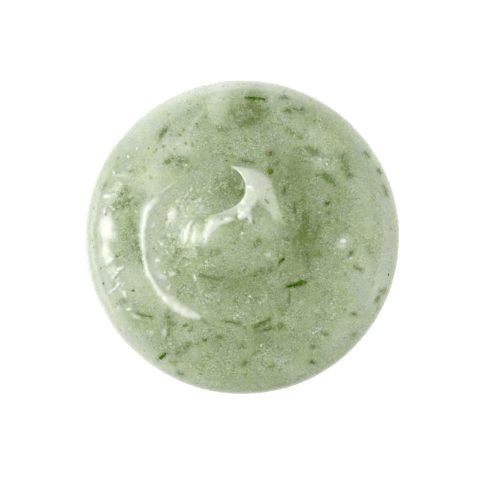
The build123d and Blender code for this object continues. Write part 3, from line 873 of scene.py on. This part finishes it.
# ---- materials
# Soap from clear green to milky, by milkiness, painted light and shade included.
CLEAREST = -0.25
SOAP_TONES = [
    (CLEAREST, (0.13, 0.195, 0.055)),
    (0.0, (0.175, 0.245, 0.085)),
    (0.5, (0.385, 0.455, 0.275)),
    (0.75, (0.535, 0.59, 0.455)),
    (1.0, (0.67, 0.72, 0.61)),
]
STAIN_CAST = (0.89, 0.96, 0.62)  # what a veiled botanical makes of the soap over it
PLANT_GRAIN = 0.4  # size of a botanical's mottles
# Each botanical's colours inwards from its outline.
PLANT_TONES = {
    "green_leaf": [
        (0.0, (0.17, 0.25, 0.03)), (0.25, (0.068, 0.165, 0.002)),
        (0.55, (0.04, 0.115, 0.001)), (0.8, (0.008, 0.032, 0.001)),
    ],
    "olive_leaf": [
        (0.0, (0.21, 0.27, 0.06)), (0.4, (0.135, 0.19, 0.025)),
        (1.0, (0.06, 0.1, 0.005)),
    ],
    "amber_husk": [
        (0.0, (0.2, 0.23, 0.03)), (0.42, (0.08, 0.105, 0.003)),
        (0.8, (0.19, 0.19, 0.004)),
    ],
    "dark_husk": [
        (0.0, (0.16, 0.2, 0.07)), (0.25, (0.075, 0.105, 0.022)),
        (0.6, (0.015, 0.022, 0.004)),
    ],
    # Pale grains, whiter at the heart: partly their own colour, partly a painted glint.
    "salt_crystal": [
        (0.0, (0.5, 0.56, 0.4)), (0.25, (0.66, 0.71, 0.6)),
        (0.6, (0.8, 0.83, 0.77)),
    ],
}


class Shader:
    """A material with one Principled shader, and short ways to add nodes to it."""

    def __init__(self, name, **constants):
        self.material = bpy.data.materials.new(name)
        self.material.use_nodes = True
        self.tree = self.material.node_tree
        self.principled = self.tree.nodes["Principled BSDF"]
        for key, value in constants.items():
            self.principled.inputs[key.replace("_", " ")].default_value = value
        place = self.tree.nodes.new("ShaderNodeTexCoord").outputs["Object"]
        inputs = {0: place, "Scale": 1 / MM}
        self.place = self.node("ShaderNodeVectorMath", inputs, operation="SCALE")

    def node(self, kind, inputs=None, output=0, **settings):
        """Adds a node, sets and links what it is given, and returns one of its outputs."""
        new = self.tree.nodes.new(kind)
        for key, value in settings.items():
            setattr(new, key, value)
        for key, value in (inputs or {}).items():
            if isinstance(value, bpy.types.NodeSocket):
                self.tree.links.new(value, new.inputs[key])
            else:
                new.inputs[key].default_value = value
        return new.outputs[output]

    def noise(self, size, detail=2.0, roughness=0.5, distortion=0.0):
        """Noise from 0 to 1 with features of this size in millimetres."""
        return self.node("ShaderNodeTexNoise", {
            "Vector": self.place, "Scale": 1 / size, "Detail": detail, "Roughness": roughness,
            "Distortion": distortion,
        })

    def cells(self, density):
        """Distance to the nearest of points scattered at so many to a millimetre."""
        inputs = {"Vector": self.place, "Scale": density}
        return self.node("ShaderNodeTexVoronoi", inputs, feature="F1")

    def attribute(self, name):
        return self.node("ShaderNodeAttribute", output="Fac", attribute_name=name)

    def ramp(self, value, low, high, to_low=0.0, to_high=1.0):
        """A value from low to high, carried smoothly to another range."""
        inputs = {0: value, 1: low, 2: high, 3: to_low, 4: to_high}
        return self.node("ShaderNodeMapRange", inputs, interpolation_type="SMOOTHSTEP")

    def stops(self, value, tones):
        """The colour at a value, from rows of position and colour."""
        new = self.tree.nodes.new("ShaderNodeValToRGB")
        elements = new.color_ramp.elements
        while len(elements) < len(tones):
            elements.new(0.5)
        for element, (position, colour) in zip(elements, tones):
            element.position = position
            element.color = (*colour, 1.0)
        self.tree.links.new(value, new.inputs[0])
        return new.outputs[0]

    def soap(self, milk_and_painted_light):
        """The soap's colour for a milkiness, painted light and shade included."""
        span = 1 - CLEAREST
        share = self.node("ShaderNodeMapRange", {0: milk_and_painted_light, 1: CLEAREST, 2: 1.0})
        return self.stops(share, [((at - CLEAREST) / span, colour) for at, colour in SOAP_TONES])

    def maths(self, operation, a, b):
        return self.node("ShaderNodeMath", {0: a, 1: b}, operation=operation)

    def plus(self, a, b):
        return self.maths("ADD", a, b)

    def times(self, a, b):
        return self.maths("MULTIPLY", a, b)

    def ripple(self, size, detail):
        """Noise of this size with a finer one on it."""
        return self.plus(self.noise(size, detail), self.times(self.noise(0.3, 1.0), 0.3))

    def mix(self, factor, a, b, blend="MIX"):
        """Mixes two colours; a plain colour is a tuple of red, green and blue."""
        a, b = (c if isinstance(c, bpy.types.NodeSocket) else (*c, 1.0) for c in (a, b))
        inputs = {0: factor, 6: a, 7: b}
        return self.node("ShaderNodeMix", inputs, output=2, data_type="RGBA", blend_type=blend)

    def bump(self, height, depth_mm, normal=None):
        inputs = {"Height": height, "Distance": depth_mm * MM, "Strength": 1.0}
        if normal is not None:
            inputs["Normal"] = normal
        return self.node("ShaderNodeBump", inputs)

    def use(self, **sockets):
        """Links node outputs to the Principled shader's sockets."""
        for key, value in sockets.items():
            self.tree.links.new(value, self.principled.inputs[key.replace("_", " ")])
        return self.material


def herb_soap():
    """Translucent sage-green soap: milky and green places with painted light and shade, herb stains,
    grain, tiny bubbles with painted glints, and painted highlights on the relief.
    """
    s = Shader("herb_soap", Roughness=0.3, IOR=1.45, Coat_Weight=0.7, Coat_Roughness=0.14,
               Coat_IOR=1.45, Specular_IOR_Level=0.3, Subsurface_Radius=(1.0, 1.1, 0.7),
               Subsurface_Scale=1.2 * MM)
    drift = s.noise(5.0, 3.0, 0.55, 0.6)
    mottle = s.noise(1.5, 3.0, 0.65, 0.5)
    grain = s.noise(0.36, 2.0, 0.7)
    milk_and_painted_light = s.attribute("milk_and_painted_light")
    clear = s.ramp(milk_and_painted_light, 0.32, 0.75, 1.2, 0.5)
    patchy = s.times(clear, s.ramp(s.noise(2.8, 2.0), 0.35, 0.65, 0.6, 1.4))
    fields = ((drift, 0.24, clear), (mottle, 0.5, patchy), (grain, 1.3, patchy))
    for field, share, strength in fields:
        strength = s.times(strength, share)
        shade = s.times(s.maths("SUBTRACT", field, 0.5), strength)
        milk_and_painted_light = s.plus(milk_and_painted_light, shade)
    colour = s.soap(milk_and_painted_light)
    cast = s.noise(4.2, 3.0, 0.6, 0.8)
    for end, tone in ((0.62, (0.98, 0.985, 1.07)), (0.38, (1.01, 1.01, 0.93))):
        toned = s.mix(1.0, colour, tone, "MULTIPLY")
        colour = s.mix(s.ramp(cast, 0.5, end), colour, toned)
    fibres = s.ramp(s.noise(0.7, 4.0, 0.75, 0.8), 0.4, 0.58, 0.1, 1.8)
    tint = s.times(s.attribute("stain"), fibres)
    colour = s.mix(s.maths("MINIMUM", tint, 0.85), colour, (0.105, 0.18, 0.012))
    dust = s.plus(s.cells(0.55), s.times(mottle, 0.5))
    chance = s.ramp(s.noise(2.6, 0.0), 0.48, 0.62)
    speck = s.times(s.ramp(dust, 0.52, 0.36), chance)
    colour = s.mix(s.times(speck, 0.5), colour, (0.14, 0.175, 0.035))
    bubble = s.times(s.ramp(s.cells(1.7), 0.4, 0.14), s.attribute("frost"))
    # White dots where the soap is frosted: partly the bubbles' own paleness, partly painted glint.
    colour = s.mix(s.times(bubble, 0.7), colour, (0.68, 0.72, 0.62))
    # Painted shade: darker, towards black, on the left shoulder and on the upper-left and lower-left
    # edge, where the lamps fall strongest.
    colour = s.mix(s.attribute("painted_shade"), colour, (0.0, 0.0, 0.0))
    # Pale soap, and painted highlights and glints, mixed in whitish.
    colour = s.mix(s.attribute("pale"), colour, (0.7, 0.73, 0.66))
    normal = s.bump(bubble, 0.06, s.bump(s.ripple(0.9, 2.0), 0.03))
    rough = s.ramp(s.noise(3.5, 2.0), 0.3, 0.7, 0.24, 0.4)
    return s.use(Base_Color=colour, Normal=normal, Coat_Normal=normal, Roughness=rough,
                 Subsurface_Weight=s.attribute("seam"))


def milky_soap():
    """Opaque pale soap with soft marbling and a satin skin."""
    s = Shader("milky_soap", IOR=1.46, Coat_Weight=0.35, Coat_Roughness=0.15,
               Subsurface_Radius=(1.0, 1.0, 0.8), Subsurface_Scale=0.8 * MM)
    drift = s.ramp(s.noise(6.0, 4.0, 0.6, 0.8), 0.3, 0.7)
    grain = s.ramp(s.noise(0.5, 2.0, 0.6), 0.3, 0.7)
    colour = s.mix(drift, (0.58, 0.64, 0.47), (0.7, 0.74, 0.61))
    shade = s.mix(grain, (0.3, 0.3, 0.3), (0.7, 0.7, 0.7))
    colour = s.mix(0.2, colour, shade, "SOFT_LIGHT")
    rough = s.ramp(s.noise(3.0), 0.3, 0.7, 0.3, 0.45)
    return s.use(Base_Color=colour, Normal=s.bump(s.ripple(1.2, 3.0), 0.04), Roughness=rough,
                 Subsurface_Weight=s.attribute("seam"))


def plant(name, rough):
    """A dried plant bit: mottled, and veiled by the soap round it, most of all at its outline."""
    s = Shader(name, Subsurface_Weight=0.0, Specular_IOR_Level=0.06)
    blotch = s.noise(PLANT_GRAIN, 3.0, 0.7)
    uneven = s.times(s.maths("SUBTRACT", blotch, 0.5), 1.9)
    inside = s.plus(s.attribute("heart"), uneven)
    soap = s.soap(s.attribute("bed"))
    stained = s.mix(1.0, soap, STAIN_CAST, "MULTIPLY")
    colour = s.mix(s.attribute("under"), s.stops(inside, PLANT_TONES[name]), stained)
    colour = s.mix(s.ramp(inside, -0.05, 0.22), soap, colour)
    normal = s.bump(s.noise(PLANT_GRAIN / 3, 2.0), 0.04)
    rough = s.ramp(blotch, 0.3, 0.7, rough, rough + 0.15)
    return s.use(Base_Color=colour, Normal=normal, Roughness=rough)


def floor_material():
    """Clean white sheet, lit from inside like a light table so that hardly a shadow falls on it."""
    s = Shader("studio_sheet", Roughness=0.9, Specular_IOR_Level=0.0, Emission_Strength=0.78,
               Emission_Color=(1, 1, 1, 1))
    return s.use(Base_Color=s.mix(s.noise(60.0), (0.33, 0.33, 0.33), (0.35, 0.35, 0.35)))


# ---- stage, in metres
SHEET_REACH = 3.0  # half the sheet's width
SHEET_FLAT = 2.2  # it lies flat as far as this,
SHEET_RISE = 0.25  # and rises this much from there to its edge
SURROUND_STRENGTH = 0.6
# Name, azimuth, elevation, distance, size and power.
SOFTBOXES = [
    ("Left_softbox", 176, 46, 0.4, (0.22, 0.28), 1.15),
    ("Back_softbox", 128, 34, 0.6, (0.5, 0.3), 0.27),
    ("Right_softbox", -8, 20, 0.6, (0.5, 0.3), 0.8),
]
CAMERA_PLACE = (-0.000534, -0.00068, 1.4)  # a hair left of and below the puck's middle
PUCK_SHARE = 0.65208  # the puck's width as a share of the picture's


def floor():
    """A wide plain sheet at the puck's foot, swept up at its far edges."""
    sheet = bmesh.new()
    bmesh.ops.create_grid(sheet, x_segments=60, y_segments=60, size=SHEET_REACH)
    for corner in sheet.verts:
        reach = max(abs(corner.co.x), abs(corner.co.y))
        corner.co.z = SHEET_RISE * smoothstep(SHEET_FLAT, SHEET_REACH, reach)
    mesh = bpy.data.meshes.new("Studio_sheet")
    sheet.to_mesh(mesh)
    sheet.free()
    mesh.shade_smooth()
    piece = placed("Studio_sheet", mesh)
    piece.location.z = -0.0002  # just under the puck's foot
    mesh.materials.append(floor_material())


def softbox(name, azimuth, elevation, distance, size, power):
    """A rectangular light aimed at the puck from an azimuth and elevation in degrees."""
    light = bpy.data.lights.new(name, "AREA")
    light.shape = "RECTANGLE"
    light.size, light.size_y = size
    light.energy = power
    lamp = placed(name, light)
    a, e = radians(azimuth), radians(elevation)
    out = Vector((cos(a) * cos(e), sin(a) * cos(e), sin(e)))
    lamp.location = out * distance + Vector((0, 0, CROWN * MM))
    lamp.rotation_euler = out.to_track_quat("Z", "Y").to_euler()


def lighting():
    """A plain surround, a bright softbox on the left, and dim ones behind and on the right."""
    world = bpy.data.worlds.new("Surround")
    world.use_nodes = True
    background = world.node_tree.nodes["Background"]
    background.inputs["Color"].default_value = (1, 1, 1, 1)
    background.inputs["Strength"].default_value = SURROUND_STRENGTH
    bpy.context.scene.world = world
    for box in SOFTBOXES:
        softbox(*box)


def camera():
    """Looks straight down, framed so that the puck sits a little above and right of the middle."""
    view = bpy.data.cameras.new("Camera")
    eye = placed("Camera", view)
    eye.location = CAMERA_PLACE
    span = 2 * RADIUS * MM / PUCK_SHARE
    view.sensor_width = 36
    view.lens = view.sensor_width * (CAMERA_PLACE[2] - SEAM * MM) / span
    view.clip_end = 10
    bpy.context.scene.camera = eye


def main():
    camera()
    lighting()
    floor()
    bpy.context.scene.view_settings.view_transform = "Standard"
    bpy.context.scene.cycles.use_denoising = True

    points, faces, paint = upper_pour()
    upper = mesh_object("Herb_upper_pour", points, faces, paint)
    upper.data.materials.append(herb_soap())
    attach(upper, "root")
    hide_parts("herb_upper_pour", "swirl_rim", "swirl_mound", "flicked_curl")
    skin = Skin(points, faces, paint["milk_and_painted_light"])

    points, faces = milky_base()
    fade = smoothstep(0, SEAM_FADE, SEAM - points[:, 2])
    base = mesh_object("Milky_base_pour", points, faces, {"seam": fade})
    base.data.materials.append(milky_soap())
    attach(base, "root")
    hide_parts("milky_base_pour")

    looks = {slot: plant(slot, 0.2 if slot == "salt_crystal" else 0.5) for slot in PLANT_TONES}
    for node in BOTANICALS:
        botanical_piece(node, skin, looks)


main()
